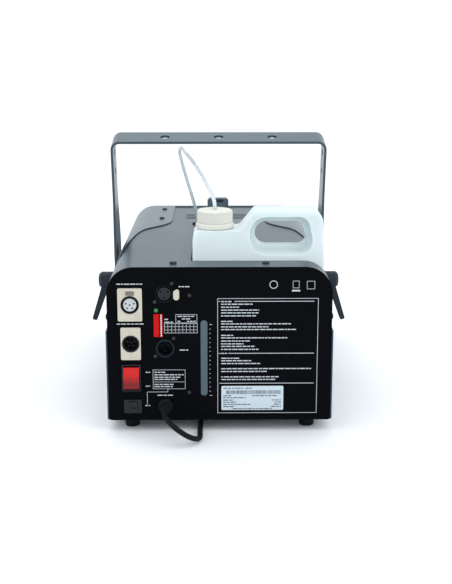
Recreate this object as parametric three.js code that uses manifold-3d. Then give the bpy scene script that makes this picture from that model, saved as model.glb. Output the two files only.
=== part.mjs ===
// A stage fog machine: a folded sheet housing with a fluid jug standing in a bay, a hanging bracket with two
// clamp levers, a rear control panel, and the pump, heater and nozzle inside.
// All sizes are millimetres. Pieces are drawn with Y running forward from the rear panel's outer face and Z
// up from the floor, and the whole is centred on Y at the end.
import * as THREE from "three";
import { mergeVertices } from "three/addons/utils/BufferGeometryUtils.js";
import Module from "manifold-3d";

const wasm = await Module();
wasm.setup();

const { PI, acos, atan2, cos, hypot, sin, tan } = Math;
const degree = PI / 180;

// ---------- driving dimensions ----------
const gap = 0.3; // left between pieces that touch
const far = 600; // longer than the machine, for cuts that go right through
const sheet = 1.5;

const body = { halfWidth: 125, length: 455, floor: 13.4, top: 190, corner: 30 };
const base = { sideTop: 118, foldRadius: 3, lip: 7 };
const panelFlange = { depth: 30, halfWidth: 88 };

const jug = {
  left: -30.5, right: 119.7, rear: 38.5, front: 133.5, top: 243.6, shoulder: 219.8, wall: 1.8,
  baseRadius: 9, edgeRadius: 7, innerEdge: 5, slopeFoot: 24, slopeHead: 42,
  fullDepthTop: 172, shoulderDepth: 50, handleDepth: 36,
};
// The finger hole's outline where the mould halves met, and the dish that widens it towards both faces.
const grip = {
  left: 41.5, right: 104, low: 200.6, high: 228.8, slant: 8, leftRadius: 13, rightRadius: 9, topRadius: 5,
  pinch: 15, flare: 6.5, dish: 16,
};
const neck = { x: -5, radius: 16.8, wall: 2.2, height: 18.5 };
const ring = { radius: neck.radius + 5.6, height: 6.4 };
const capSkirt = 3.4;
const cap = { radius: neck.radius + 2 * gap + capSkirt, height: 14.4, top: 2.2, ribs: 36, ribDepth: 0.5 };

const bay = { play: 1.7, frontPlay: 3.5, wall: 1.2, floor: 22 };
const level = { x: -17.4, low: 42.1, high: 130.2, width: 8 };

// The hood's edge runs from each arm's straight inner side round a bend, then outwards to the side.
const hood = {
  thickness: 1.2, innerEdge: 64, rearEdge: 318, bend: [95, 248], tail: [118, 130], sideRear: 88, bridge: 8,
};
const hoodTop = body.top + gap + hood.thickness;
const widest = body.halfWidth + gap + Math.max(hood.thickness, sheet); // over the hood's or chassis's side
const louvre = { halfLength: 45.6, rear: 337, front: 376.5, width: 4.6, count: 4 };
const vent = {
  width: 5.2, baseCount: 7, basePitch: 18, frontCount: 6, frontPitch: 14, frontX: 74, frontLow: 60,
  frontHalfLength: 24,
};
const lug = {
  halfWidth: 15.8, height: 12.4, thickness: 13, inset: 1, chamfer: 3, slotHalfWidth: 8, slotHeight: 4,
  slotDepth: 9,
};
const blank = { x: 78.8, y: body.length - 40, radius: 15.6, rise: 3 };

const pivot = { y: 220, z: 128 };
const washer = { radius: 15, space: 2.2 };
const strap = 3;
const bracket = {
  halfWidth: widest + washer.space + strap, radius: 194.5, thickness: strap, width: 38, corner: 11,
  lean: 13, footRadius: 33, flareTop: 122, flareFoot: 50, holeRadius: 6, holePitch: 66, smallHole: 4,
  armHoles: [20, 44], // below the bar
};
const stud = { radius: 4, inner: body.halfWidth - 20 };
const lever = {
  hubRadius: 10.9, hubEnd: bracket.halfWidth + 25, bore: 12, length: 55, splay: 18.5, root: 9.5, tip: 6.5,
  width: 14,
};

const hose = { radius: 2.25 };
const grommet = { radius: 7.2, flange: 1.6, neck: 5.2, y: 290, x: -28.5 };
const foot = { radius: 9, footRadius: 7.6, x: body.halfWidth - 24.5, rear: 23, front: body.length - 35 };

const socket = {
  mouth: 9.3, groove: 1.9, grooveDepth: 12, cup: 8.6, cupDepth: 15, depth: 20, flange: 2, screw: 1.7,
  pin: 1.2, pinCircle: 4.6, pinHole: 8, pinsBelowRim: 6.5,
};
const remoteIn = { x: -99.1, z: 148.2, barrel: socket.mouth + 0.9, halfWidth: 13.5, halfHeight: 18.7 };
const remoteOut = { x: -98.9, z: 103.6, barrel: socket.cup + 1.4, halfWidth: 11.1, halfHeight: 18.6 };
const dmxOut = { x: -61.1, z: 160.4, barrel: socket.mouth + 0.4, halfWidth: 13, halfHeight: 13 };
const dmxIn = { x: -60.8, z: 97.8, barrel: socket.cup + 2.3, halfWidth: 13, halfHeight: 13 };
const latch = {
  halfWidth: 4.6, low: socket.mouth + 1.3, high: socket.mouth + 5.9, proud: 1.2, depth: 6, travel: 1.5,
};
const releaseTab = { x: socket.mouth + 4, z: -1.2, halfWidth: 3.3, halfHeight: 5.7, proud: 2.4, travel: 1.5 };
const indicator = { x: -70.4, z: 141.5, radius: 2.5 };
const dip = { x: -68.2, z: 124.3, halfWidth: 5, halfHeight: 13, pitch: 2.54, count: 10, travel: 2 };
const rocker = {
  x: -99, z: 63.8, halfWidth: 10.6, halfHeight: 15.5, capHalfWidth: 8.8, capHalfHeight: 13, depth: 16,
};
const fuse = {
  x: -97.8, z: 30.4, halfWidth: 10, halfHeight: 7.8, drawerHalfWidth: 4.9, drawerHalfHeight: 5.5, depth: 26,
};
const cord = { radius: 3, x: -61.3, z: 30.7 };
const gland = { ring: 8.2, thread: 6.2, base: 5.6, tip: 4.4, nose: 22 };
const coil = { x: 16.7, y: body.length + 65, radii: [39, 33, 27, 30, 36], layerRise: 5.2 };
const plug = {
  radius: 17.4, sleeve: 4.4, shoulder: 9, length: 54, pinRadius: 2.4, pinPitch: 19, pinReach: 19,
};

const heater = {
  halfWidth: 42, rear: 275, front: 420, low: 66, high: 122, edge: 6,
  ear: { reach: 14, width: 18, height: 6, inset: 20 }, leg: 3.5, seam: 1.4,
};
const nozzle = { z: 96, radius: 9, tip: 6, bore: 2, reach: 32, nut: 11, nutLength: 10 };
const bezel = { radius: 27, hole: 16, thickness: 4 };
const pump = {
  x: -84, rear: 62, front: 138, low: 20, halfWidth: 24, height: 46, axis: 56, core: 9, spout: 4,
};
const board = { x: -116, rear: 256, front: 348, low: 40, high: 140, thickness: 1.6 };

// ---------- materials ----------
const material = (color, roughness, metalness = 0, opacity = 1) =>
  new THREE.MeshStandardMaterial({ color, roughness, metalness, opacity, transparent: opacity < 1 });
const paint = material(0x3a434c, 0.42, 0.2);
const panelPaint = material(0x0c0d11, 0.38, 0.1);
const blackPlastic = material(0x14161a, 0.5);
const knobPlastic = material(0x272e38, 0.55);
const rubber = material(0x101113, 0.85);
const zinc = material(0xb9b4a4, 0.38, 0.8);
const steel = material(0xc4c7ca, 0.32, 1);
const brass = material(0xb08d4a, 0.35, 1);
const castMetal = material(0x9a9c9f, 0.6, 0.9);
const jugPlastic = material(0xd9e6ea, 0.42, 0, 0.92);
const capPlastic = material(0xf1eee2, 0.5);
const clearTube = material(0xe6eef0, 0.15, 0, 0.5);
const redPlastic = material(0xd01812, 0.3);
const whitePlastic = material(0xf0f0ec, 0.45);
const greenLens = material(0x2f8f4e, 0.25);
const circuitBoard = material(0x1f5a35, 0.6);

// ---------- solids ----------
function solidOf(shape) {
  if (!shape.isBufferGeometry) return shape;
  const bare = shape.index ? shape.toNonIndexed() : shape.clone();
  bare.deleteAttribute("normal");
  bare.deleteAttribute("uv");
  const merged = mergeVertices(bare, 1e-4);
  return new wasm.Manifold(
    new wasm.Mesh({
      numProp: 3,
      vertProperties: merged.attributes.position.array,
      triVerts: new Uint32Array(merged.index.array),
    }),
  );
}

function geometryOf(solid) {
  const mesh = solid.getMesh();
  const geometry = new THREE.BufferGeometry();
  geometry.setAttribute("position", new THREE.BufferAttribute(new Float32Array(mesh.vertProperties), 3));
  geometry.setIndex(new THREE.BufferAttribute(new Uint32Array(mesh.triVerts), 1));
  return geometry;
}

const cut = (first, ...rest) => rest.reduce((left, shape) => left.subtract(solidOf(shape)), solidOf(first));
const join = (first, ...rest) => rest.reduce((left, shape) => left.add(solidOf(shape)), solidOf(first));
const keep = (first, ...rest) => rest.reduce((left, shape) => left.intersect(solidOf(shape)), solidOf(first));

const machine = new THREE.Group();
const cordNodes = [];

function add(name, shape, finish, parent = machine) {
  const mesh = new THREE.Mesh(shape.isBufferGeometry ? shape : geometryOf(shape), finish);
  mesh.name = name;
  parent.add(mesh);
  return mesh;
}

// ---------- outlines ----------
// corners: [x, y, radius] in order round the outline.
function rounded(corners, path = new THREE.Shape()) {
  corners.forEach(([x, y, radius = 0], i) => {
    const corner = new THREE.Vector2(x, y);
    const last = corners.at(i - 1);
    const next = corners[(i + 1) % corners.length];
    const back = new THREE.Vector2(last[0], last[1]).sub(corner).normalize();
    const on = new THREE.Vector2(next[0], next[1]).sub(corner).normalize();
    const half = acos(THREE.MathUtils.clamp(back.dot(on), -1, 1)) / 2;
    const begin = back.clone().multiplyScalar(radius / tan(half)).add(corner);
    if (i) path.lineTo(begin.x, begin.y);
    else path.moveTo(begin.x, begin.y);
    if (!radius) return;
    const end = on.clone().multiplyScalar(radius / tan(half)).add(corner);
    const centre = back.clone().add(on).normalize().multiplyScalar(radius / sin(half)).add(corner);
    const from = atan2(begin.y - centre.y, begin.x - centre.x);
    const to = atan2(end.y - centre.y, end.x - centre.x);
    path.absarc(centre.x, centre.y, radius, from, to, back.cross(on) > 0);
  });
  path.closePath();
  return path;
}

const rectangle = (x, y, halfWidth, halfHeight, radius = 0, path = undefined) =>
  rounded(
    [
      [x - halfWidth, y - halfHeight, radius],
      [x + halfWidth, y - halfHeight, radius],
      [x + halfWidth, y + halfHeight, radius],
      [x - halfWidth, y + halfHeight, radius],
    ],
    path,
  );

function circle(x, y, radius, path = new THREE.Shape()) {
  path.absarc(x, y, radius, 0, 2 * PI, false);
  return path;
}

// ---------- extrusions and turned pieces ----------
// The outline's axes, and the way it is pushed: X and Z along Y, Y and Z along X, or X and Y along Z.
const alongY = new THREE.Matrix4().makeBasis(
  new THREE.Vector3(1, 0, 0), new THREE.Vector3(0, 0, 1), new THREE.Vector3(0, -1, 0));
const alongX = new THREE.Matrix4().makeBasis(
  new THREE.Vector3(0, 1, 0), new THREE.Vector3(0, 0, 1), new THREE.Vector3(1, 0, 0));

function extruded(outline, depth, edge = 0, curve = 4) {
  const geometry = new THREE.ExtrudeGeometry(outline, {
    depth: depth - 2 * edge,
    curveSegments: curve,
    bevelEnabled: edge > 0,
    bevelThickness: edge,
    bevelSize: edge,
    bevelOffset: -edge,
    bevelSegments: edge > 6 ? 3 : 1,
  });
  return geometry.translate(0, 0, edge);
}
const extrudeY = (outline, from, to, edge, curve) =>
  extruded(outline, to - from, edge, curve).applyMatrix4(alongY).translate(0, to, 0);
const extrudeX = (outline, from, to, edge, curve) =>
  extruded(outline, to - from, edge, curve).applyMatrix4(alongX).translate(from, 0, 0);
const extrudeZ = (outline, from, to, edge, curve) =>
  extruded(outline, to - from, edge, curve).translate(0, 0, from);

const box = (x0, x1, y0, y1, z0, z1) =>
  new THREE.BoxGeometry(x1 - x0, y1 - y0, z1 - z0).translate((x0 + x1) / 2, (y0 + y1) / 2, (z0 + z1) / 2);
const drumY = (x, z, radius, from, to, curve = 6) => extrudeY(circle(x, z, radius), from, to, 0, curve);
const drumX = (y, z, radius, from, to, curve = 6) => extrudeX(circle(y, z, radius), from, to, 0, curve);
const drumZ = (x, y, radius, from, to, curve = 6) => extrudeZ(circle(x, y, radius), from, to, 0, curve);

// profile: [radius, height] points that begin and end on the axis, or close on themselves; turned about Z.
function turned(profile, segments = 32) {
  const points = profile.map(([radius, height]) => new THREE.Vector2(radius, height));
  if (THREE.ShapeUtils.isClockWise(points)) points.reverse();
  return new THREE.LatheGeometry(points, segments).rotateX(PI / 2);
}

function tube(points, radius, steps, sides = 6) {
  const curve = new THREE.CatmullRomCurve3(points.map((p) => new THREE.Vector3(...p)), false, "centripetal");
  const section = new THREE.Shape();
  section.setFromPoints(
    Array.from({ length: sides }, (_, i) => {
      const angle = (2 * PI * i) / sides;
      return new THREE.Vector2(radius * cos(angle), radius * sin(angle));
    }),
  );
  return new THREE.ExtrudeGeometry(section, { steps, extrudePath: curve, curveSegments: 1 });
}

// ---------- housing ----------
// The section of the housing: square at the bottom, round at the top corners, each wall moved in by inset.
const arch = (inset, low) =>
  rounded([
    [-body.halfWidth + inset, low],
    [body.halfWidth - inset, low],
    [body.halfWidth - inset, body.top - inset, body.corner - inset],
    [-body.halfWidth + inset, body.top - inset, body.corner - inset],
  ]);

const panelBack = sheet + gap; // where the sheets behind a panel begin
const panelSection = () =>
  rounded([
    [-body.halfWidth, body.floor, base.foldRadius],
    [body.halfWidth, body.floor, base.foldRadius],
    [body.halfWidth, body.top, body.corner],
    [-body.halfWidth, body.top, body.corner],
  ]);

const bayBox = {
  left: jug.left - bay.play,
  right: jug.right + bay.play,
  rear: jug.rear - bay.play,
  front: jug.front + bay.frontPlay,
};
const levelSlot = (clear) =>
  rectangle(level.x, (level.low + level.high) / 2, level.width / 2 + clear,
    (level.high - level.low) / 2 + clear, level.width / 2 + clear - 0.01);

const slotOutline = (x, y, halfLength) =>
  rectangle(x, y, halfLength, vent.width / 2, vent.width / 2 - 0.1);

function baseChassis() {
  const side = body.halfWidth + gap;
  const lipReach = body.halfWidth - sheet - gap; // the lips stand inside the cover's sides
  const outside = rounded([
    [-side - sheet, body.floor, base.foldRadius],
    [side + sheet, body.floor, base.foldRadius],
    [side + sheet, base.sideTop],
    [-side - sheet, base.sideTop],
  ]);
  const inside = rounded([
    [-side, body.floor + sheet, base.foldRadius - sheet],
    [side, body.floor + sheet, base.foldRadius - sheet],
    [side, far],
    [-side, far],
  ]);
  const tray = cut(
    extrudeY(outside, 0, body.length),
    extrudeY(inside, panelBack + sheet, body.length - panelBack - sheet),
    box(-side, side, -1, panelBack, 0, far),
    box(-side, side, body.length - panelBack, body.length + 1, 0, far),
    box(-side, side, 0, body.length, body.floor + base.lip, far),
    box(-side, -lipReach, 0, body.length, body.floor + sheet, far),
    box(lipReach, side, 0, body.length, body.floor + sheet, far),
  );
  const vents = Array.from({ length: vent.baseCount }, (_, i) =>
    extrudeZ(
      slotOutline(0, heater.rear + 12 + i * vent.basePitch, heater.halfWidth - 8), 0,
      body.floor + sheet + 1, 0, 1));
  return cut(tray, ...vents);
}

const flangeTop = body.top - sheet - gap; // the panels' flanges lie under the cover
const panelFlangeOf = (from, to) =>
  box(-panelFlange.halfWidth, panelFlange.halfWidth, from, to, flangeTop - sheet, flangeTop);

function rearPanel() {
  const flange = join(
    panelFlangeOf(sheet - 0.5, panelFlange.depth),
    box(-panelFlange.halfWidth, panelFlange.halfWidth, sheet - 0.5, panelBack, flangeTop - sheet - 4,
      flangeTop),
  );
  const fronts = [remoteIn, remoteOut, dmxOut, dmxIn];
  return cut(
    join(extrudeY(panelSection(), 0, sheet, 0, 6), flange),
    ...fronts.map(({ x, z, barrel }) => drumY(x, z, barrel + gap, -1, panelBack)),
    extrudeY(latchWindow(remoteIn.x, remoteIn.z, 0), -1, panelBack),
    extrudeY(tabOutline(dmxOut.x, dmxOut.z, gap), -1, panelBack, 0, 3),
    drumY(indicator.x, indicator.z, indicator.radius + gap, -1, panelBack, 4),
    extrudeY(rectangle(dip.x, dip.z, dip.halfWidth + gap, dip.halfHeight + gap), -1, panelBack),
    extrudeY(rectangle(rocker.x, rocker.z, rocker.halfWidth - gap, rocker.halfHeight - gap), -1, panelBack),
    extrudeY(rectangle(fuse.x, fuse.z, fuse.halfWidth - 1, fuse.halfHeight - 1), -1, panelBack),
    drumY(cord.x, cord.z, gland.thread + gap, -1, panelBack),
    extrudeY(levelSlot(0), -1, panelBack, 0, 6),
  );
}

function frontPanel() {
  const face = body.length;
  const plate = join(
    extrudeY(panelSection(), face - sheet, face, 0, 6),
    panelFlangeOf(face - panelFlange.depth, face - sheet + 0.5),
  );
  const slots = [];
  for (const side of [-1, 1])
    for (let i = 0; i < vent.frontCount; i++) {
      const z = vent.frontLow + i * vent.frontPitch;
      const slot = slotOutline(side * vent.frontX, z, vent.frontHalfLength);
      slots.push(extrudeY(slot, face - panelBack, face + 1, 0, 1));
    }
  return cut(plate, drumY(0, nozzle.z, bezel.hole + 2, face - panelFlange.depth - 1, face + 1), ...slots);
}

function topCover() {
  const shell = cut(
    extrudeY(arch(0, body.floor + sheet + 3), panelBack, body.length - panelBack, 0, 6),
    extrudeY(arch(sheet, -10), 0, body.length, 0, 6),
  );
  const pitch = (louvre.front - louvre.rear - louvre.width) / (louvre.count - 1);
  const slots = Array.from({ length: louvre.count }, (_, i) =>
    extrudeZ(
      rectangle(0, louvre.rear + louvre.width / 2 + i * pitch, louvre.halfLength, louvre.width / 2,
        louvre.width / 2 - 0.1),
      body.top - 5, body.top + 1, 0, 2));
  return cut(
    shell,
    box(bayBox.left, bayBox.right, bayBox.rear, bayBox.front, base.sideTop, far),
    drumZ(grommet.x, grommet.y, grommet.neck + gap, body.top - 5, body.top + 1),
    drumX(pivot.y, pivot.z, stud.radius + gap, -far, far),
    ...slots,
  );
}

// A second skin over the front of the cover, cut away between its two arms. Its rear edge runs in an S from
// each arm, over the round corner and down the side.
function frontHood() {
  const skin = cut(
    extrudeY(arch(-gap - hood.thickness, base.sideTop + gap), hood.sideRear, body.length, 0, 6),
    extrudeY(arch(-gap, 0), 0, far, 0, 6),
  );
  const edge = (side) => {
    const [bendX, bendY] = hood.bend;
    const [tailX, tailY] = hood.tail;
    const outside = body.halfWidth + 15;
    const plan = new THREE.Shape();
    plan.moveTo(side * hood.innerEdge, far);
    plan.lineTo(side * hood.innerEdge, hood.rearEdge);
    plan.bezierCurveTo(
      side * hood.innerEdge, hood.rearEdge - 34, side * (bendX - 15), bendY + 24, side * bendX, bendY);
    plan.bezierCurveTo(side * (bendX + 12), bendY - 20, side * (tailX - 4), tailY + 60, side * tailX, tailY);
    plan.lineTo(side * outside, tailY - 70);
    plan.lineTo(side * outside, far);
    plan.closePath();
    return extrudeZ(plan, 0, far, 0, 6);
  };
  const { sideRear } = hood;
  const sideView = new THREE.Shape();
  sideView.moveTo(far, 0);
  sideView.lineTo(far, far);
  sideView.lineTo(sideRear, far);
  sideView.lineTo(sideRear + 36, base.sideTop + 60);
  sideView.bezierCurveTo(
    sideRear + 20, base.sideTop + 46, sideRear + 6, base.sideTop + 28, sideRear, base.sideTop);
  sideView.lineTo(sideRear, 0);
  sideView.closePath();
  const arms = keep(join(edge(-1), edge(1)), extrudeX(sideView, -far, far, 0, 6));
  const across = hood.innerEdge + 1;
  const underLug = lug.halfWidth + 1;
  const bridge = keep(
    skin,
    join(
      box(-across, across, body.length - hood.bridge, body.length, body.top, far),
      box(-underLug, underLug, body.length - lug.thickness - 2 * lug.inset, body.length, body.top, far),
    ),
  );
  return cut(
    join(keep(skin, arms), bridge),
    drumX(pivot.y, pivot.z, stud.radius + gap, -far, far),
    box(bayBox.left, bayBox.right, bayBox.rear, bayBox.front, 0, far),
  );
}

function bayLiner() {
  const clear = gap + sheet;
  const block = keep(
    extrudeY(arch(clear, bay.floor), bayBox.rear - bay.wall, bayBox.front + bay.wall, 0, 6),
    box(bayBox.left - bay.wall, far, 0, far, 0, far),
  );
  return cut(
    block,
    box(bayBox.left, bayBox.right, bayBox.rear, bayBox.front, bay.floor + bay.wall, far),
    extrudeY(levelSlot(1), bayBox.rear - 5, bayBox.rear + 1, 0, 6),
  );
}

// A block on the hood's far edge, with a slot in its rear face.
function safetyLug() {
  const { halfWidth, height, chamfer, thickness, slotHalfWidth, slotHeight, slotDepth } = lug;
  const front = body.length - lug.inset;
  const outline = rounded([
    [-halfWidth, 0], [halfWidth, 0], [halfWidth, height - chamfer, 1], [halfWidth - chamfer, height, 1],
    [-halfWidth + chamfer, height, 1], [-halfWidth, height - chamfer, 1],
  ]);
  const slot = rectangle(0, height - 2 - slotHeight / 2, slotHalfWidth, slotHeight / 2, 1);
  const rear = front - thickness;
  return cut(extrudeY(outline, rear, front, 0, 2), extrudeY(slot, rear - 1, rear + slotDepth, 0, 2))
    .translate([0, 0, hoodTop + gap]);
}

function blankingPlug() {
  const lip = 0.8;
  const arc = [1, 2, 3].map((i) => {
    const angle = (i * PI) / 8;
    return [blank.radius * cos(angle), lip + (blank.rise - lip) * sin(angle)];
  });
  return turned([[0, 0], [blank.radius, 0], [blank.radius, lip], ...arc, [0, blank.rise]], 24);
}

function addHousing() {
  add("base_chassis", baseChassis(), paint);
  add("rear_panel", rearPanel(), panelPaint);
  add("front_panel", frontPanel(), paint);
  add("top_cover", topCover(), paint);
  add("front_hood", frontHood(), paint);
  add("bay_liner", bayLiner(), paint);
  add("safety_lug", safetyLug(), blackPlastic);
  add("blanking_plug", blankingPlug(), blackPlastic).position.set(blank.x, blank.y, hoodTop + gap);
  for (const [side, x] of [["left", -foot.x], ["right", foot.x]])
    for (const [end, y] of [["rear", foot.rear], ["front", foot.front]])
      add(`foot_${end}_${side}`, footShape(), rubber).position.set(x, y, 0);
}

function footShape() {
  const top = body.floor - gap;
  return turned(
    [[0, 1.2], [foot.footRadius - 3, 0], [foot.footRadius, 0], [foot.footRadius + 0.6, 0.8],
      [foot.radius, top - 1], [foot.radius - 0.8, top], [0, top]], 16);
}

// ---------- fluid jug ----------
const jugBottom = bay.floor + bay.wall + gap;
const jugMiddle = (jug.rear + jug.front) / 2;
const jugDepth = jug.front - jug.rear;

// The silhouette seen from the rear, and the one seen from the side, each moved in by inset.
const jugFace = (inset) =>
  rounded([
    [jug.left + inset, jugBottom + inset, jug.baseRadius],
    [jug.right - inset, jugBottom + inset, jug.baseRadius],
    [jug.right - inset, jug.top - inset, 15],
    [jug.slopeHead + inset, jug.top - inset, 8],
    [jug.slopeFoot + inset, jug.shoulder - inset, 7],
    [jug.left + inset, jug.shoulder - inset, 10],
  ]);
const jugSide = (inset) => {
  const half = jugDepth / 2 - inset;
  const shoulder = jug.shoulderDepth / 2 - inset;
  const handle = jug.handleDepth / 2 - inset;
  return rounded([
    [jugMiddle - half, jugBottom + inset, 6],
    [jugMiddle + half, jugBottom + inset, 6],
    [jugMiddle + half, jug.fullDepthTop, 34],
    [jugMiddle + shoulder, jug.shoulder - inset, 14],
    [jugMiddle + handle, jug.top - inset, 9],
    [jugMiddle - handle, jug.top - inset, 9],
    [jugMiddle - shoulder, jug.shoulder - inset, 14],
    [jugMiddle - half, jug.fullDepthTop, 34],
  ]);
};
const gripOutline = (outset) =>
  rounded([
    [grip.left - outset, grip.low - outset, grip.leftRadius + outset],
    [grip.right + outset, grip.low - outset, grip.rightRadius + outset],
    [grip.right - grip.slant + outset, grip.high + outset, grip.topRadius + outset],
    [grip.left - outset, grip.high + outset, grip.leftRadius + outset],
  ]);

// The jug is one blow-moulded shell. Its two faces dish in to the finger hole, where the mould halves met.
function fluidJug() {
  const dish = (side, wall) => {
    const start = grip.pinch / 2 - wall;
    const length = jugDepth + 2 * grip.dish;
    return new THREE.ExtrudeGeometry(gripOutline(grip.flare + wall), {
      depth: jugDepth, curveSegments: 3, bevelThickness: grip.dish, bevelSize: grip.flare,
      bevelOffset: -grip.flare, bevelSegments: 3,
    }).applyMatrix4(alongY).translate(0, jugMiddle - grip.dish + (side < 0 ? -start : start + length), 0);
  };
  const outer = keep(
    extrudeY(jugFace(0), jug.rear, jug.front, jug.edgeRadius, 3),
    extrudeX(jugSide(0), jug.left - 1, jug.right + 1, 0, 3),
  );
  const inner = keep(
    extrudeY(jugFace(jug.wall), jug.rear + jug.wall, jug.front - jug.wall, jug.innerEdge, 1),
    extrudeX(jugSide(jug.wall), jug.left, jug.right, 0, 1),
  );
  const windowWall = extrudeY(gripOutline(jug.wall), jug.rear - 5, jug.front + 5, 0, 3);
  const cavity = cut(inner, windowWall, dish(-1, jug.wall), dish(1, jug.wall));
  const neckLow = jug.shoulder - 4;
  const neckTop = jug.shoulder + neck.height;
  return cut(
    join(outer, drumZ(neck.x, jugMiddle, neck.radius, neckLow, neckTop)),
    extrudeY(gripOutline(0), jug.rear - 5, jug.front + 5, 0, 3),
    dish(-1, 0),
    dish(1, 0),
    cavity,
    drumZ(neck.x, jugMiddle, neck.radius - neck.wall, neckLow - 6, neckTop + 1),
  );
}

const ringLow = jug.shoulder + gap;
const capLow = ringLow + ring.height + gap;
const capTop = capLow + cap.height;

function neckRing() {
  const inner = neck.radius + gap;
  return turned(
    [[inner, 0], [ring.radius - 0.8, 0], [ring.radius, 1.2], [ring.radius, ring.height - 2],
      [ring.radius - 1.8, ring.height], [inner, ring.height], [inner, 0]], 28);
}

function jugCap() {
  const ribbed = new THREE.Shape();
  ribbed.setFromPoints(
    Array.from({ length: 2 * cap.ribs }, (_, i) => {
      const radius = cap.radius - (i % 2 ? cap.ribDepth : 0);
      const angle = (PI * i) / cap.ribs;
      return new THREE.Vector2(radius * cos(angle), radius * sin(angle));
    }),
  );
  const rim = turned(
    [[0, 0], [cap.radius + 1, 0], [cap.radius + 1, cap.height - 2.6], [cap.radius - 2, cap.height],
      [0, cap.height]], 32);
  const threadSpace = cap.height - cap.top;
  return cut(
    keep(extrudeZ(ribbed, 0, cap.height), rim),
    drumZ(0, 0, neck.radius + 2 * gap, -1, threadSpace, 10),
    drumZ(0, 0, hose.radius + gap, 0, cap.height + 1, 4),
  );
}

function addJug() {
  const dipLow = jugBottom + jug.wall + 14;
  add("fluid_jug", fluidJug(), jugPlastic);
  add("neck_ring", neckRing(), capPlastic).position.set(neck.x, jugMiddle, ringLow);
  add("jug_cap", jugCap(), capPlastic).position.set(neck.x, jugMiddle, capLow);
  add("dip_tube", drumZ(neck.x, jugMiddle, hose.radius, dipLow + gap, capTop - gap, 4), clearTube);
  add("dip_filter", turned([[0, 0], [5, 0], [6, 1], [6, 11], [4, 13.5], [0, 13.5]], 16), steel)
    .position.set(neck.x, jugMiddle, dipLow - 13.5);
}

// ---------- suction hose ----------
// From the cap, up in a free arch under the bracket, through the deck and back to the pump.
const suctionRoute = [
  [neck.x, 86, capTop + gap], [-5.2, 86.8, 247], [-6.2, 92, 252], [-10.2, 108, 260], [-18, 134, 270.5],
  [-28, 164, 283], [-40.5, 197, 295], [-47.6, 218, 300], [-50.2, 234, 295], [-47.3, 247, 278],
  [-41.5, 262, 254], [-35, 276, 229], [-30, 286.5, 207], [grommet.x, grommet.y, 193],
  [grommet.x, grommet.y, 180], [-30.5, 287, 166], [-40, 270, 146], [-56, 236, 118], [-72, 196, 86],
  [-82, 166, 62], [pump.x, 150, 56.2], [pump.x, pump.front + gap, pump.axis],
];

function addHose() {
  add("suction_hose", tube(suctionRoute, hose.radius, 42), clearTube);
  cordNodes.push("suction_hose");
  const inner = hose.radius + 2 * gap;
  const top = body.top + gap;
  const under = body.top - sheet - gap;
  add("hose_grommet",
    turned([[inner, under - grommet.flange], [grommet.radius - 1, under - grommet.flange],
      [grommet.radius - 1, under], [grommet.neck, under], [grommet.neck, top], [grommet.radius, top],
      [grommet.radius - 0.6, top + grommet.flange], [inner, top + grommet.flange],
      [inner, under - grommet.flange]], 16), rubber).position.set(grommet.x, grommet.y, 0);
}

// ---------- hanging bracket ----------
// One bent strap, drawn upright about its pivot: the front view gives its bends, the side view its feet.
function bracketShape() {
  const { halfWidth, radius, thickness, corner, width, footRadius, flareTop, flareFoot } = bracket;
  const arms = rounded([
    [-halfWidth, -footRadius], [-halfWidth + thickness, -footRadius],
    [-halfWidth + thickness, radius - thickness, corner - thickness],
    [halfWidth - thickness, radius - thickness, corner - thickness],
    [halfWidth - thickness, -footRadius], [halfWidth, -footRadius],
    [halfWidth, radius, corner], [-halfWidth, radius, corner],
  ]);
  const side = new THREE.Shape();
  side.moveTo(-width / 2, radius + 1);
  side.lineTo(-width / 2, flareTop);
  side.lineTo(-footRadius, flareFoot);
  side.lineTo(-footRadius, 0);
  side.absarc(0, 0, footRadius, PI, 2 * PI, false);
  side.lineTo(footRadius, flareFoot);
  side.lineTo(width / 2, flareTop);
  side.lineTo(width / 2, radius + 1);
  side.closePath();
  const barHoles = [-1, 0, 1].map((i) =>
    drumZ(i * bracket.holePitch, 0, bracket.holeRadius, radius - thickness - 1, radius + 1));
  const armHoles = bracket.armHoles.map((drop) => drumX(0, radius - drop, bracket.smallHole, -far, far, 4));
  return cut(
    keep(extrudeY(arms, -footRadius - 1, footRadius + 1, 0, 5), extrudeX(side, -far, far, 0, 8)),
    drumX(0, 0, stud.radius + gap, -far, far),
    ...barHoles,
    ...armHoles,
  );
}

// A moulded clamp lever for the right side: a domed hub with a tapered wing hanging down and outwards.
function leverShape() {
  const { hubRadius, hubEnd, bore, length, splay, root, tip, width } = lever;
  const inner = bracket.halfWidth + gap;
  const hub = turned(
    [[0, 0], [hubRadius - 1, 0], [hubRadius, 1.5], [hubRadius, hubEnd - inner - 4],
      [hubRadius - 2.5, hubEnd - inner - 0.8], [hubRadius - 5, hubEnd - inner], [0, hubEnd - inner]], 22)
    .rotateY(PI / 2).translate(inner, 0, 0);
  const wing = new THREE.Shape();
  wing.moveTo(-root / 2, 0);
  wing.lineTo(root / 2, 0);
  wing.lineTo(tip / 2, -length + tip / 2);
  wing.absarc(0, -length + tip / 2, tip / 2, 0, -PI, true);
  wing.closePath();
  const wingPlan = new THREE.Shape();
  wingPlan.moveTo(-width / 2, 1);
  wingPlan.lineTo(-width / 2 + 1.5, -length + 5);
  wingPlan.absarc(0, -length + width / 2 - 1.5, width / 2 - 1.5, PI, 2 * PI, false);
  wingPlan.lineTo(width / 2, 1);
  wingPlan.closePath();
  const arm = keep(extrudeY(wing, -width, width, 0, 4), extrudeX(wingPlan, -root, root, 0, 5));
  const placed = geometryOf(arm).rotateY(-splay * degree).translate((inner + hubEnd) / 2 + 2, 0, -2);
  return cut(join(hub, placed), drumX(0, 0, stud.radius + gap, inner - 1, inner + bore));
}

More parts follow.
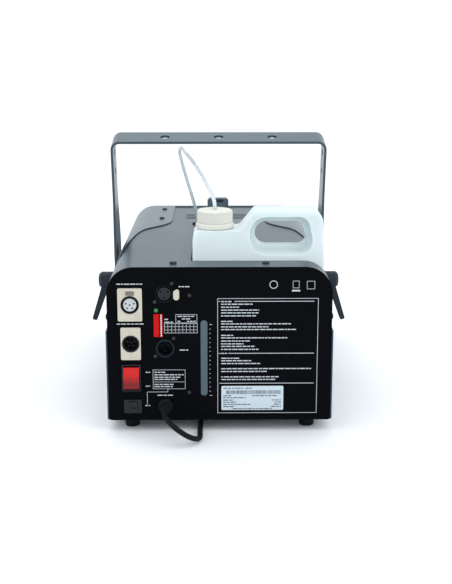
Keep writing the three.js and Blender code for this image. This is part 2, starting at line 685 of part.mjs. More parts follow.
function addBracket() {
  const swing = new THREE.Group();
  swing.position.set(0, pivot.y, pivot.z);
  swing.rotation.x = bracket.lean * degree;
  machine.add(swing);
  add("bracket", bracketShape(), paint, swing);

  const bracketSide = bracket.halfWidth - bracket.thickness;
  const boreEnd = bracket.halfWidth + gap + lever.bore;
  for (const [name, side] of [["left", -1], ["right", 1]]) {
    const hub = new THREE.Group();
    hub.position.set(0, pivot.y, pivot.z);
    hub.rotation.z = side < 0 ? PI : 0;
    machine.add(hub);
    add(`clamp_lever_${name}`, leverShape(), knobPlastic, hub);
    add(`clamp_stud_${name}`, drumX(0, 0, stud.radius, stud.inner, boreEnd - gap, 6), steel, hub);
    const disc = circle(0, 0, washer.radius);
    disc.holes.push(circle(0, 0, stud.radius + gap, new THREE.Path()));
    add(`friction_washer_${name}`, extrudeX(disc, widest + gap, bracketSide - gap, 0, 6), rubber, hub);
  }
}

// ---------- rear panel fittings ----------
const ringOf = (count, radius, turn = 0) =>
  Array.from({ length: count }, (_, i) => {
    const angle = turn + (2 * PI * i) / count;
    return [radius * cos(angle), radius * sin(angle)];
  });

const latchWindow = (x, z, inset) =>
  rectangle(x, z + (latch.low + latch.high) / 2, latch.halfWidth - inset,
    (latch.high - latch.low) / 2 - inset, inset);
const tabOutline = (x, z, clear) =>
  rectangle(x + releaseTab.x, z + releaseTab.z, releaseTab.halfWidth + clear, releaseTab.halfHeight + clear,
    releaseTab.halfWidth + clear - 0.1);

// A chassis socket drawn about its own axis. Its flange is on the panel's face, or hidden behind the panel.
const shownFace = -gap - socket.flange;
function socketShell({ barrel, halfWidth, halfHeight }, { screws, hidden, front }) {
  const plate = hidden ? [panelBack, panelBack + socket.flange] : [shownFace, -gap];
  const outline = rectangle(0, 0, halfWidth, halfHeight, 1.5);
  for (const [x, z] of screws) outline.holes.push(circle(x, z, socket.screw, new THREE.Path()));
  return join(extrudeY(outline, ...plate, 0, 3), drumY(0, 0, barrel, front, socket.depth));
}

// A female socket has a ring-shaped groove round an insert with a hole for each pin.
const insertRadius = socket.mouth - socket.groove;
const pinHoles = (pins) => pins.map(([x, z]) => drumY(x, z, socket.pin, -socket.depth, socket.pinHole, 2));
function femaleSocket(size, options, pins) {
  const groove = cut(
    drumY(0, 0, socket.mouth, -socket.depth, socket.grooveDepth), drumY(0, 0, insertRadius, -far, far));
  return cut(socketShell(size, options), groove, ...pinHoles(pins));
}

// A male socket is an open cup with its pins standing inside, below the rim.
function maleSocket(size, options, pins) {
  const { cup, cupDepth, pin, pinsBelowRim } = socket;
  const hollow = cut(socketShell(size, options), drumY(0, 0, cup, options.front - 1, cupDepth));
  return join(
    hollow, ...pins.map(([x, z]) => drumY(x, z, pin, options.front + pinsBelowRim, cupDepth + 0.5, 2)));
}

function addSockets() {
  const five = ringOf(5, socket.pinCircle, PI / 2).slice(1).concat([[0, 0]]);
  const three = ringOf(3, socket.pinCircle, -PI / 2);

  // The remote input has a metal flange, a bright insert of its own and a latch above the mouth.
  const inShell = cut(
    socketShell(remoteIn, { front: shownFace - 0.6, screws: [[-8.2, 14.2], [8.6, -12.8]] }),
    drumY(0, 0, socket.mouth, -socket.depth, socket.grooveDepth),
    extrudeY(latchWindow(0, 0, 0), shownFace - 1, latch.depth),
  );
  const insert = cut(drumY(0, 0, insertRadius, shownFace, socket.grooveDepth - gap), ...pinHoles(five));
  const outShell = maleSocket(remoteOut, { front: shownFace - 0.4, screws: [[0, 14], [0, -14]] }, five);
  const hidden = { hidden: true, screws: [[-10.2, -10.2], [10.2, 10.2]] };
  const place = (name, shape, finish, { x, z }) => add(name, shape, finish).position.set(x, 0, z);
  place("remote_in_socket", inShell, zinc, remoteIn);
  place("remote_in_insert", insert, steel, remoteIn);
  place("remote_in_latch", extrudeY(latchWindow(0, 0, gap), shownFace - latch.proud, shownFace + 1.6, 0, 2),
    steel, remoteIn);
  place("remote_out_socket", outShell, zinc, remoteOut);
  place("dmx_out_socket", femaleSocket(dmxOut, { ...hidden, front: -1 }, three), blackPlastic, dmxOut);
  const tabBack = sheet - releaseTab.travel - gap;
  place("dmx_out_latch", extrudeY(tabOutline(0, 0, 0), -releaseTab.proud, tabBack, 0, 4), zinc, dmxOut);
  place("dmx_in_socket", maleSocket(dmxIn, { ...hidden, front: -1.2 }, three), blackPlastic, dmxIn);
}

function addIndicatorAndSwitches() {
  const { x, z, radius } = indicator;
  const lens = turned([[0, 2.2], [radius * 0.7, 1.7], [radius, 0.6], [radius, -6], [0, -6]], 12);
  add("power_indicator", lens.rotateX(PI / 2), greenLens).position.set(x, 0, z);

  const slot = { reach: dip.travel + 1.7, depth: 1.6, halfHeight: 1 };
  const slotRight = dip.halfWidth - 0.7;
  const knob = { width: 1.4, halfHeight: 0.75 };
  const rows = Array.from({ length: dip.count }, (_, i) => ((dip.count - 1) / 2 - i) * dip.pitch);
  const slots = rows.map((row) =>
    extrudeY(rectangle(slotRight - slot.reach / 2, row, slot.reach / 2, slot.halfHeight), -2, slot.depth));
  const housing = extrudeY(rectangle(0, 0, dip.halfWidth, dip.halfHeight), -0.8, 7);
  add("dip_switch_block", cut(housing, ...slots), redPlastic).position.set(dip.x, 0, dip.z);
  rows.forEach((row, i) => {
    const right = slotRight - 0.2;
    const lever = box(right - knob.width, right, -1.5, slot.depth - gap, -knob.halfHeight, knob.halfHeight);
    add(`dip_lever_${i + 1}`, lever, whitePlastic).position.set(dip.x, 0, dip.z + row);
  });
}

function addRockerAndFuse() {
  const bezelFront = -2.3;
  const frame = cut(
    join(
      extrudeY(rectangle(0, 0, rocker.halfWidth, rocker.halfHeight, 1), bezelFront, -gap, 0, 2),
      extrudeY(
        rectangle(0, 0, rocker.halfWidth - 2 * gap, rocker.halfHeight - 2 * gap), -gap - 0.5, rocker.depth)),
    extrudeY(rectangle(0, 0, rocker.capHalfWidth + gap, rocker.capHalfHeight + 1.3), -10, rocker.depth - 3),
  );
  add("rocker_frame", frame, blackPlastic).position.set(rocker.x, 0, rocker.z);
  // The cap's side view: its upper half is pressed in.
  const h = rocker.capHalfHeight;
  const side = rounded([
    [-1.4, h - 0.6, 0.8], [3.5, h - 1.5], [3.5, -h + 1.5], [-4.6, -h + 0.4, 0.8], [-5.2, 5, 1.2],
  ]);
  add("rocker_button", extrudeX(side, -rocker.capHalfWidth, rocker.capHalfWidth, 0, 3), redPlastic)
    .position.set(rocker.x, 0, rocker.z);

  const { halfWidth, halfHeight, drawerHalfWidth, drawerHalfHeight, depth } = fuse;
  const holder = cut(
    join(
      extrudeY(rectangle(0, 0, halfWidth, halfHeight, 1), bezelFront, -gap, 0, 2),
      extrudeY(rectangle(0, 0, halfWidth - 1 - gap, halfHeight - 1 - gap), -gap - 0.5, depth)),
    extrudeY(rectangle(0, 0, drawerHalfWidth + gap, drawerHalfHeight + gap), -10, depth - 2),
  );
  add("fuse_holder", holder, blackPlastic).position.set(fuse.x, 0, fuse.z);
  const front = bezelFront - 2;
  const drawer = cut(
    extrudeY(rectangle(0, 0, drawerHalfWidth, drawerHalfHeight, 0.6), front, depth - 3, 0, 2),
    box(-3, 3, front - 1, front + 1.2, -2, 2), // a finger notch in its face
    box(-drawerHalfWidth + 2, drawerHalfWidth - 2, 5, depth - 5, -drawerHalfHeight + 3, far), // its fuse bed
  );
  add("fuse_drawer", drawer, knobPlastic).position.set(fuse.x, 0, fuse.z);
}

// ---------- mains lead ----------
// Out of its gland, round in one slanting half turn to the floor, under the machine and into a coil beyond.
const leadRoute = [
  [-61.3, -22.3, 30.7], [-61.3, -26, 30.7], [-59.8, -35.2, 29.6], [-55.6, -43, 26.6], [-49.3, -48.2, 22.2],
  [-41.8, -50, 16.9], [-34.3, -48.2, 11.6], [-28, -43, 7.3], [-23.8, -35.2, 4.4], [-22.3, -26, 3.2],
  [-22.3, -12, 3.2], [-21.5, 60, 3.2], [-20.5, 160, 3.2], [-21, 280, 3.2], [-22.2, 400, 3.2],
  [-22.3, 470, 3.2], [-22.3, coil.y - 24, 3.2],
];

function addMainsLead() {
  const bore = cord.radius + gap;
  const behind = -9;
  const gripShape = turned(
    [[bore, behind], [gland.thread, behind], [gland.thread, 0], [gland.ring, 0], [gland.ring, 2.6],
      [gland.ring - 1.6, 3.6], [gland.base, 3.8], [gland.tip, gland.nose - 0.6], [bore, gland.nose],
      [bore, behind]], 18)
    .rotateX(PI / 2);
  add("cord_gland", gripShape, rubber).position.set(cord.x, 0, cord.z);
  add("mains_cord", tube(leadRoute, cord.radius, 44), rubber);
  const inner = Math.min(...coil.radii) - cord.radius;
  const outer = Math.max(...coil.radii) + cord.radius;
  const high = 2 * cord.radius + coil.layerRise;
  const first = 2 * cord.radius;
  const ringProfile = [
    [inner, 0], [outer, 0], [outer, first], [outer - cord.radius, high], [inner + cord.radius, high],
    [inner, first], [inner, 0],
  ];
  add("mains_cord_coil", turned(ringProfile, 26), rubber).position.set(coil.x, coil.y, 0);
  add("mains_plug", mainsPlug(), rubber).position.set(coil.x + 24, coil.y + 36, plug.radius);
  cordNodes.push("cord_gland", "mains_cord", "mains_cord_coil", "mains_plug");
}

// A round moulded plug with two pins, lying on the floor with its sleeve towards the coil.
function mainsPlug() {
  const { radius, sleeve, shoulder, length } = plug;
  const moulding = turned(
    [[0, 0], [sleeve, 0], [sleeve + 1, 22], [shoulder, 27], [radius - 2, 33], [radius, 38],
      [radius, length - 2], [radius - 0.8, length], [0, length]], 22)
    .rotateY(PI / 2);
  const pins = [-1, 1].map((side) =>
    drumX(0, (side * plug.pinPitch) / 2, plug.pinRadius, length - 1, length + plug.pinReach, 3));
  return join(moulding, ...pins);
}

// ---------- inside ----------
// Two cast halves bolted round the heating coil, on four legs. The seam shows on both sides.
function heaterBlock() {
  const { halfWidth, low, high, edge, ear, leg } = heater;
  const halves = extrudeY(rectangle(0, (low + high) / 2, halfWidth, (high - low) / 2, edge), heater.rear,
    heater.front, 0, 3);
  const fixings = [];
  for (const side of [-1, 1])
    for (const y of [heater.rear + ear.inset, heater.front - ear.inset]) {
      const x = side * (halfWidth + ear.reach / 2 - 1);
      const half = ear.reach / 2 + 1;
      const [rear, front] = [y - ear.width / 2, y + ear.width / 2];
      fixings.push(box(x - half, x + half, rear, front, low + 4, low + 4 + ear.height));
      fixings.push(drumZ(x, y, leg, body.floor + sheet + gap, low + 5, 3));
    }
  const seams = [-1, 1].map((side) =>
    extrudeY(
      rectangle(side * (halfWidth + ear.reach), (low + high) / 2, ear.reach + 1.5, heater.seam / 2), 0, far));
  return cut(join(halves, ...fixings), ...seams);
}

function nozzleShape() {
  const { radius, tip, bore } = nozzle;
  const start = heater.front + gap;
  const length = body.length + nozzle.reach - start;
  const hex = new THREE.Shape();
  hex.setFromPoints(ringOf(6, nozzle.nut).map(([x, y]) => new THREE.Vector2(x, y)));
  const stem = turned(
    [[0, 0], [radius, 0], [radius, length - 20], [tip, length - 12], [tip, length - 1.5], [tip - 1.5, length],
      [bore, length], [bore, length - 10], [0, length - 12]], 20)
    .rotateX(-PI / 2);
  return join(stem, extrudeY(hex, 0, nozzle.nutLength)).translate([0, start, nozzle.z]);
}

function nozzleBezel() {
  const disc = circle(0, nozzle.z, bezel.radius);
  disc.holes.push(circle(0, nozzle.z, bezel.hole, new THREE.Path()));
  return extrudeY(disc, body.length + gap, body.length + gap + bezel.thickness, 1.2, 7);
}

// A solenoid pump: a laminated coil on a foot plate with the fluid path through it.
function pumpShape() {
  const { x, rear, front, low, halfWidth, height, axis } = pump;
  const plate = extrudeY(rectangle(x, low + 2, halfWidth, 2), rear, front);
  const leg = extrudeY(rectangle(x, low + 6, 8, 4), rear + 18, front - 16);
  const winding = extrudeY(rectangle(x, low + height / 2 + 2, halfWidth - 4, height / 2 - 2, 3), rear + 18,
    front - 16, 0, 3);
  const core = drumY(x, axis, pump.core, rear + 6, front - 6, 5);
  const spouts = drumY(x, axis, pump.spout, rear, front, 4);
  return join(plate, leg, winding, core, spouts);
}

// The board stands against the left side with its transformer, relay, connectors and a capacitor inwards.
function boardShape() {
  const { x, rear, front, low, high, thickness } = board;
  const face = x + thickness;
  const part = (y, z, width, height, rise) =>
    box(face - 0.2, face + rise, y - width / 2, y + width / 2, z - height / 2, z + height / 2);
  const transformer = part(rear + 22, low + 26, 28, 34, 22);
  const relay = part(front - 18, low + 20, 18, 18, 15);
  const connector = part(front - 20, high - 20, 20, 10, 9);
  const chip = part(rear + 50, high - 40, 16, 8, 4);
  const capacitor = drumX(rear + 18, high - 20, 7, face - 0.2, face + 24, 4);
  return join(box(x, face, rear, front, low, high), transformer, relay, connector, chip, capacitor);
}

const feedRoute = [
  [pump.x, pump.rear - gap, pump.axis], [pump.x, 50, pump.axis], [-80, 40, 62], [-70, 36, 76],
  [-56, 42, 90], [-46, 70, 100], [-44, 120, 104], [-42, 180, 100], [-30, 225, 96], [-12, 252, 94],
  [0, 264, 94], [0, heater.rear - gap, 94],
];

function addInside() {
  add("heater_block", heaterBlock(), castMetal);
  add("nozzle", nozzleShape(), brass);
  add("nozzle_bezel", nozzleBezel(), blackPlastic);
  add("fluid_pump", pumpShape(), steel);
  add("control_board", boardShape(), circuitBoard);
  add("feed_pipe", tube(feedRoute, hose.radius, 30), steel);
}

addHousing();
addJug();
addHose();
addBracket();
addSockets();
addIndicatorAndSwitches();
addRockerAndFuse();
addMainsLead();
addInside();

// The origin is under the middle of the machine, measured without its cord and hose.
machine.updateMatrixWorld(true);
const extent = new THREE.Box3();
machine.traverse((node) => {
  if (node.isMesh && !cordNodes.includes(node.name)) extent.expandByObject(node, true);
});
machine.position.y = -(extent.min.y + extent.max.y) / 2;

export default machine;
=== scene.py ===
import math
import random

import bmesh
import bpy
from mathutils import Matrix, Vector


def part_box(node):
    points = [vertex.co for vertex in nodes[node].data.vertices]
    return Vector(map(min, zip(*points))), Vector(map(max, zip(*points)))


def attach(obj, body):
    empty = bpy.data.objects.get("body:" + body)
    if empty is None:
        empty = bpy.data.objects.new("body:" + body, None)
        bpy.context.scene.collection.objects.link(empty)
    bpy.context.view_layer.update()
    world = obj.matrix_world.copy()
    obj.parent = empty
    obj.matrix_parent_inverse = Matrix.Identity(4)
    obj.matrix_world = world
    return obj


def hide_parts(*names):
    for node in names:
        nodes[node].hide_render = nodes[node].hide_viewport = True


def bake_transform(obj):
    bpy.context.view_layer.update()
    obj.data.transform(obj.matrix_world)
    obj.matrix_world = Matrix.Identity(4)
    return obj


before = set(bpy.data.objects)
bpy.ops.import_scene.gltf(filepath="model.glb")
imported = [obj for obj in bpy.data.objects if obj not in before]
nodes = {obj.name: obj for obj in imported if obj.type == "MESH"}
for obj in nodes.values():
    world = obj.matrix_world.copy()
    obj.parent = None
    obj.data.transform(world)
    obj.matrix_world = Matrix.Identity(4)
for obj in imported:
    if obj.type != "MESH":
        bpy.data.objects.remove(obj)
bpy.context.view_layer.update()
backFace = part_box("rear_panel")[0].y
print("frame loaded:", len(nodes), "nodes")


def at(x, y, z):
    # millimetres, with y forward from the rear panel's outer face
    return Vector((x / 1000, backFace + y / 1000, z / 1000))


# the view from behind, a little above the deck

camera = {"place": (-0.0058, -1.3677, 0.424), "downDegrees": 13.08, "turnDegrees": 0.655, "lens": 64.7}


def makeCamera(values):
    data = bpy.data.cameras.new("camera")
    data.lens = values["lens"]
    item = bpy.data.objects.new("camera", data)
    bpy.context.collection.objects.link(item)
    item.location = values["place"]
    item.rotation_euler = (math.radians(90 - values["downDegrees"]), 0, -math.radians(values["turnDegrees"]))
    bpy.context.scene.camera = item


makeCamera(camera)
print("camera placed")


# shader maths and finishes


class Signal:
    # one output socket that can stand in a sum
    def __init__(self, finish, socket):
        self.finish = finish
        self.socket = socket

    def maths(self, operation, first, second):
        return self.finish.add("ShaderNodeMath", {"operation": operation}, {0: first, 1: second})

    def __add__(self, other):
        return self.maths("ADD", self, other)

    def __radd__(self, other):
        return self.maths("ADD", other, self)

    def __sub__(self, other):
        return self.maths("SUBTRACT", self, other)

    def __rsub__(self, other):
        return self.maths("SUBTRACT", other, self)

    def __mul__(self, other):
        return self.maths("MULTIPLY", self, other)

    def __rmul__(self, other):
        return self.maths("MULTIPLY", other, self)

    def __truediv__(self, other):
        return self.maths("DIVIDE", self, other)

    def __pow__(self, other):
        return self.maths("POWER", self, other)

    def size(self):
        return self.maths("ABSOLUTE", self, 0)

    def capped(self):
        return self.maths("MAXIMUM", self.maths("MINIMUM", self, 1), 0)


class Finish:
    def __init__(self, name, **fixed):
        self.material = bpy.data.materials.new(name)
        self.material.use_nodes = True
        self.tree = self.material.node_tree
        self.tree.nodes.clear()
        self.surface = self.tree.nodes.new("ShaderNodeBsdfPrincipled")
        end = self.tree.nodes.new("ShaderNodeOutputMaterial")
        self.tree.links.new(self.surface.outputs[0], end.inputs["Surface"])
        for key, value in fixed.items():
            self.set(key, value)

    def set(self, key, value):
        socket = self.surface.inputs[key.replace("_", " ")]
        if isinstance(value, Signal):
            self.tree.links.new(value.socket, socket)
        else:
            socket.default_value = value if not hasattr(value, "__len__") else (*value, 1)

    def add(self, kind, settings=None, values=None, output=0):
        node = self.tree.nodes.new(kind)
        for key, value in (settings or {}).items():
            setattr(node, key, value)
        for key, value in (values or {}).items():
            if isinstance(value, Signal):
                self.tree.links.new(value.socket, node.inputs[key])
            else:
                node.inputs[key].default_value = value
        return Signal(self, node.outputs[output])

    def place(self):
        return self.add("ShaderNodeTexCoord", output="Object")

    def axes(self):
        # x, y and z of the point, in metres
        split = self.tree.nodes.new("ShaderNodeSeparateXYZ")
        self.tree.links.new(self.place().socket, split.inputs[0])
        return [Signal(self, s) for s in split.outputs]

    def noise(self, scale, detail=2.0, stretch=(1, 1, 1)):
        spot = self.place()
        if stretch != (1, 1, 1):
            spot = self.add("ShaderNodeMapping", {}, {"Vector": spot, "Scale": stretch})
        return self.add("ShaderNodeTexNoise", {}, {"Vector": spot, "Scale": scale, "Detail": detail})

    def blend(self, factor, first, second):
        return self.add("ShaderNodeMix", {"data_type": "RGBA"},
                        {"Factor": factor, 6: (*first, 1) if isinstance(first, tuple) else first,
                         7: (*second, 1) if isinstance(second, tuple) else second}, output=2)

    def raised(self, height, strength=0.3, depth=0.0002):
        return self.add("ShaderNodeBump", {}, {"Height": height, "Strength": strength, "Distance": depth})


def powderCoat(name, dark, light, rough=0.36, specular=0.5, tint=(1, 1, 1), peel=0.35, dust=0.08):
    # baked paint: fine orange peel, slow changes of gloss, a little dust
    coat = Finish(name, Specular_IOR_Level=specular, Specular_Tint=tint)
    clouds = coat.noise(14, 3)
    grain = coat.noise(1500, 2)
    specks = (coat.noise(420, 1) - 0.66) * 9
    shade = coat.blend(clouds, dark, light)
    coat.set("Base_Color", coat.blend(specks.capped() * dust, shade, (0.30, 0.32, 0.34)))
    coat.set("Roughness", rough - 0.05 + clouds * 0.08 + grain * 0.04)
    coat.set("Normal", coat.raised(grain * 0.6 + coat.noise(520, 2), peel, 0.00012))
    return coat.material


def mouldedPlastic(name, dark, light, rough=0.45, specular=0.5, grain=0.3, scale=2200):
    plastic = Finish(name, Specular_IOR_Level=specular)
    flow = plastic.noise(40, 3)
    pits = plastic.noise(scale, 2)
    plastic.set("Base_Color", plastic.blend(flow * 0.7 + pits * 0.3, dark, light))
    plastic.set("Roughness", rough - 0.06 + flow * 0.12)
    plastic.set("Normal", plastic.raised(pits, grain, 0.0001))
    return plastic.material


def platedMetal(name, dark, light, rough=0.3, stretch=(1, 1, 12), metallic=1.0, scale=700):
    # rolled sheet or turned metal: fine brushed lines and faint stains
    metal = Finish(name, Metallic=metallic)
    lines = metal.noise(scale, 3, stretch)
    stains = metal.noise(60, 4)
    metal.set("Base_Color", metal.blend(stains * 0.6 + lines * 0.4, dark, light))
    metal.set("Roughness", rough - 0.08 + lines * 0.1 + stains * 0.08)
    metal.set("Normal", metal.raised(lines, 0.15, 0.0001))
    return metal.material


def flangedMetal(name, centre, radius, dark):
    # a plated flange whose mouth, round its centre on the panel, is black inside
    metal = Finish(name, Specular_IOR_Level=0.4)
    x, _, z = metal.axes()
    middle = at(centre[0], 0, centre[1])
    away = (((x - middle.x) ** 2) + ((z - middle.z) ** 2)) ** 0.5
    mouth = ((radius / 1000 - away) / 0.0002).capped()
    lines = metal.noise(700, 3, (1, 1, 12))
    stains = metal.noise(60, 4)
    plate = metal.blend(stains * 0.6 + lines * 0.4, (0.50, 0.46, 0.37), (0.64, 0.60, 0.50))
    metal.set("Base_Color", metal.blend(mouth, plate, dark))
    metal.set("Metallic", 0.45 - mouth * 0.45)
    metal.set("Roughness", 0.42 + lines * 0.1 + mouth * 0.2)
    metal.set("Normal", metal.raised(lines, 0.15, 0.0001))
    return metal.material


def castMetal():
    metal = Finish("castMetal", Metallic=0.9)
    sand = metal.noise(900, 4)
    stains = metal.noise(30, 4)
    metal.set("Base_Color", metal.blend(stains, (0.22, 0.22, 0.23), (0.42, 0.42, 0.43)))
    metal.set("Roughness", 0.45 + sand * 0.25)
    metal.set("Normal", metal.raised(sand + stains * 0.5, 0.6, 0.0004))
    return metal.material


jugWall = {"seam": 0.0007, "shade": (0.66, 0.78, 0.79), "pale": (0.75, 0.86, 0.87)}


def blownPlastic(values):
    # thin milky wall, blotchy where it is thicker, with the line where the mould closed
    low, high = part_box("fluid_jug")
    wall = Finish("jugPlastic", Roughness=0.38, Subsurface_Weight=0.4, Subsurface_Scale=0.012,
                  Specular_IOR_Level=0.4)
    wall.surface.inputs["Subsurface Radius"].default_value = (0.8, 1.0, 1.0)
    thick = wall.noise(18, 2)
    ripple = wall.noise(260, 2)
    y = wall.axes()[1]
    seam = (1 - (y - (low.y + high.y) / 2).size() / values["seam"]).capped()
    wall.set("Base_Color", wall.blend(seam * 0.35, wall.blend(thick, values["shade"], values["pale"]),
                                      (0.45, 0.54, 0.57)))
    wall.set("Roughness", 0.34 + thick * 0.1)
    wall.set("Normal", wall.raised(thick * 1.4 + ripple * 0.2 + seam * 0.8, 0.25, 0.0006))
    return wall.material


# painted shade and painted highlight reds of the rocker cap, and the height over which one turns into the
# other
rockerCapLight = {"shadedRed": (0.16, 0.002, 0.003), "bright": (0.66, 0.004, 0.003), "fade": 0.012}


def capWithPaintedLight(values):
    # see-through red cap with painted light: lighter red towards its top as if lit from above, painted shade
    # deeper towards its foot
    low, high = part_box("rocker_button")
    cap = Finish("rockerRed", Specular_IOR_Level=0.25, Coat_Weight=0.2)
    # painted light from above: share of the painted highlight, rising from the cap's foot to its top
    litShare = ((cap.axes()[2] - (low.z + high.z) / 2) / values["fade"] + 0.5).capped()
    haze = cap.noise(300, 2)
    cap.set("Base_Color", cap.blend((litShare * 0.85 + haze * 0.15).capped(), values["shadedRed"], values["bright"]))
    cap.set("Roughness", 0.22 + haze * 0.1)
    cap.set("Normal", cap.raised(haze, 0.08, 0.0001))
    return cap.material


def clearHose():
    skin = Finish("clearTube", Transmission_Weight=0.55, IOR=1.38, Specular_IOR_Level=0.6)
    haze = skin.noise(90, 3)
    skin.set("Base_Color", skin.blend(haze, (0.74, 0.80, 0.82), (0.90, 0.94, 0.95)))
    skin.set("Roughness", 0.12 + haze * 0.14)
    skin.set("Normal", skin.raised(skin.noise(700, 2), 0.1, 0.0001))
    return skin.material


def circuitBoard():
    board = Finish("circuitBoard", Coat_Weight=0.3)
    tracks = board.add("ShaderNodeTexVoronoi", {"distance": "MANHATTAN"},
                       {"Vector": board.place(), "Scale": 220})
    line = ((tracks - 0.42) * 12).capped()
    board.set("Base_Color", board.blend(line, (0.012, 0.09, 0.03), (0.05, 0.22, 0.08)))
    board.set("Roughness", 0.35 + line * 0.15)
    board.set("Normal", board.raised(line, 0.3, 0.0002))
    return board.material


finishes = {
    "deckPaint": powderCoat("deckPaint", (0.008, 0.016, 0.026), (0.013, 0.024, 0.036), 0.34, 0.8,
                            (0.60, 0.88, 1.0)),
    "hoodPaint": powderCoat("hoodPaint", (0.018, 0.030, 0.042), (0.027, 0.042, 0.056), 0.30, 1.0,
                            (0.70, 0.90, 1.0)),
    "bracketPaint": powderCoat("bracketPaint", (0.007, 0.014, 0.022), (0.011, 0.020, 0.030), 0.28, 1.0,
                               (0.60, 0.86, 1.0)),
    "panelPaint": powderCoat("panelPaint", (0.0016, 0.0018, 0.0026), (0.0026, 0.0030, 0.0040), 0.5, 0.03,
                             (0.9, 0.95, 1.0), 0.2, 0.01),
    "blackPlastic": mouldedPlastic("blackPlastic", (0.006, 0.007, 0.009), (0.012, 0.014, 0.017), 0.5, 0.3),
    "discPlastic": mouldedPlastic("discPlastic", (0.008, 0.010, 0.015), (0.012, 0.015, 0.021), 0.6, 0.1),
    "lugPlastic": mouldedPlastic("lugPlastic", (0.075, 0.115, 0.145), (0.100, 0.145, 0.180), 0.4, 0.7),
    "knobPlastic": mouldedPlastic("knobPlastic", (0.008, 0.014, 0.022), (0.014, 0.023, 0.034), 0.5, 0.3),
    "rubber": mouldedPlastic("rubber", (0.003, 0.0034, 0.004), (0.007, 0.0076, 0.0085), 0.7, 0.15, 0.5, 1400),
    "capPlastic": mouldedPlastic("capPlastic", (0.68, 0.65, 0.57), (0.78, 0.755, 0.68), 0.48, 0.4),
    "redPlastic": mouldedPlastic("redPlastic", (0.44, 0.002, 0.002), (0.60, 0.004, 0.003), 0.3, 0.12, 0.1),
    "rockerRed": capWithPaintedLight(rockerCapLight),
    "whitePlastic": mouldedPlastic("whitePlastic", (0.68, 0.68, 0.66), (0.82, 0.82, 0.80), 0.4),
    "greenLens": mouldedPlastic("greenLens", (0.012, 0.16, 0.045), (0.03, 0.26, 0.08), 0.2, 0.6, 0.1),
    "zinc": platedMetal("zinc", (0.50, 0.46, 0.37), (0.64, 0.60, 0.50), 0.5, metallic=0.45),
    "steel": platedMetal("steel", (0.50, 0.51, 0.52), (0.74, 0.75, 0.76), 0.3),
    "inputFlange": flangedMetal("inputFlange", (-99.1, 148.2), 10.3, (0.004, 0.004, 0.005)),
    "outputFlange": flangedMetal("outputFlange", (-98.9, 103.6), 9.9, (0.010, 0.012, 0.018)),
    "latchSteel": platedMetal("latchSteel", (0.14, 0.13, 0.10), (0.24, 0.22, 0.18), 0.4, metallic=0.5),
    "insertMetal": platedMetal("insertMetal", (0.40, 0.42, 0.43), (0.56, 0.58, 0.59), 0.42, metallic=0.3),
    "darkSteel": platedMetal("darkSteel", (0.004, 0.005, 0.007), (0.010, 0.012, 0.015), 0.34, metallic=0.1),
    "brass": platedMetal("brass", (0.48, 0.32, 0.10), (0.66, 0.47, 0.18), 0.32, (1, 10, 1)),
    "castMetal": castMetal(),
    "jugPlastic": blownPlastic(jugWall),
    "clearTube": clearHose(),
    "circuitBoard": circuitBoard(),
    "printInk": mouldedPlastic("printInk", (0.42, 0.45, 0.47), (0.62, 0.65, 0.67), 0.6, 0.2, 0.2),
    "labelPaper": mouldedPlastic("labelPaper", (0.50, 0.58, 0.63), (0.60, 0.68, 0.73), 0.5, 0.3, 0.1),
    "labelInk": mouldedPlastic("labelInk", (0.05, 0.06, 0.075), (0.10, 0.12, 0.14), 0.6, 0.2, 0.1),
    # grey-blue painted shade: the jug's wall as seen dim through the level slot
    "slotPaintedShade": mouldedPlastic("slotPaintedShade", (0.050, 0.080, 0.098), (0.075, 0.112, 0.135), 0.4, 0.4, 0.05,
                                300),
}
print("finishes made:", len(finishes))

finishOf = {
    "deckPaint": ["top_cover", "base_chassis", "front_panel", "bay_liner"],
    "hoodPaint": ["front_hood"],
    "bracketPaint": ["bracket"],
    "panelPaint": ["rear_panel"],
    "blackPlastic": ["rocker_frame", "fuse_drawer", "fuse_holder", "dmx_out_socket", "nozzle_bezel",
                     "blanking_plug"],
    "discPlastic": ["dmx_in_socket"],
    "lugPlastic": ["safety_lug"],
    "knobPlastic": ["clamp_lever_left", "clamp_lever_right"],
    "rubber": ["foot_rear_left", "foot_rear_right", "foot_front_left", "foot_front_right", "cord_gland",
               "mains_cord", "mains_cord_coil", "mains_plug", "hose_grommet", "friction_washer_left",
               "friction_washer_right"],
    "capPlastic": ["jug_cap", "neck_ring"],
    "redPlastic": ["dip_switch_block"],
    "rockerRed": ["rocker_button"],
    "whitePlastic": [f"dip_lever_{i}" for i in range(1, 11)],
    "greenLens": ["power_indicator"],
    "zinc": ["dmx_out_latch"],
    "inputFlange": ["remote_in_socket"],
    "outputFlange": ["remote_out_socket"],
    "latchSteel": ["remote_in_latch"],
    "insertMetal": ["remote_in_insert"],
    "steel": ["clamp_stud_left", "clamp_stud_right", "dip_filter", "feed_pipe", "fluid_pump"],
    "brass": ["nozzle"],
    "castMetal": ["heater_block"],
    "jugPlastic": ["fluid_jug"],
    "clearTube": ["dip_tube", "suction_hose"],
    "circuitBoard": ["control_board"],
}
for finish, names in finishOf.items():
    for name in names:
        for holder in nodes[name].material_slots:
            holder.material = finishes[finish]
print("nodes without a finish:", sorted(set(nodes) - {n for names in finishOf.values() for n in names}))


def finished(name, bm, finish, body, smooth=40):
    # a bmesh as a piece at the origin that rides a body
    mesh = bpy.data.meshes.new(name)
    bm.to_mesh(mesh)
    bm.free()
    mesh.materials.append(finishes[finish])
    if smooth:
        mesh.shade_smooth()
        mesh.set_sharp_from_angle(angle=math.radians(smooth))
    piece = bpy.data.objects.new(name, mesh)
    bpy.context.collection.objects.link(piece)
    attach(piece, body)
    return piece


# cords: the routes repeat the ones that the housing is drawn with


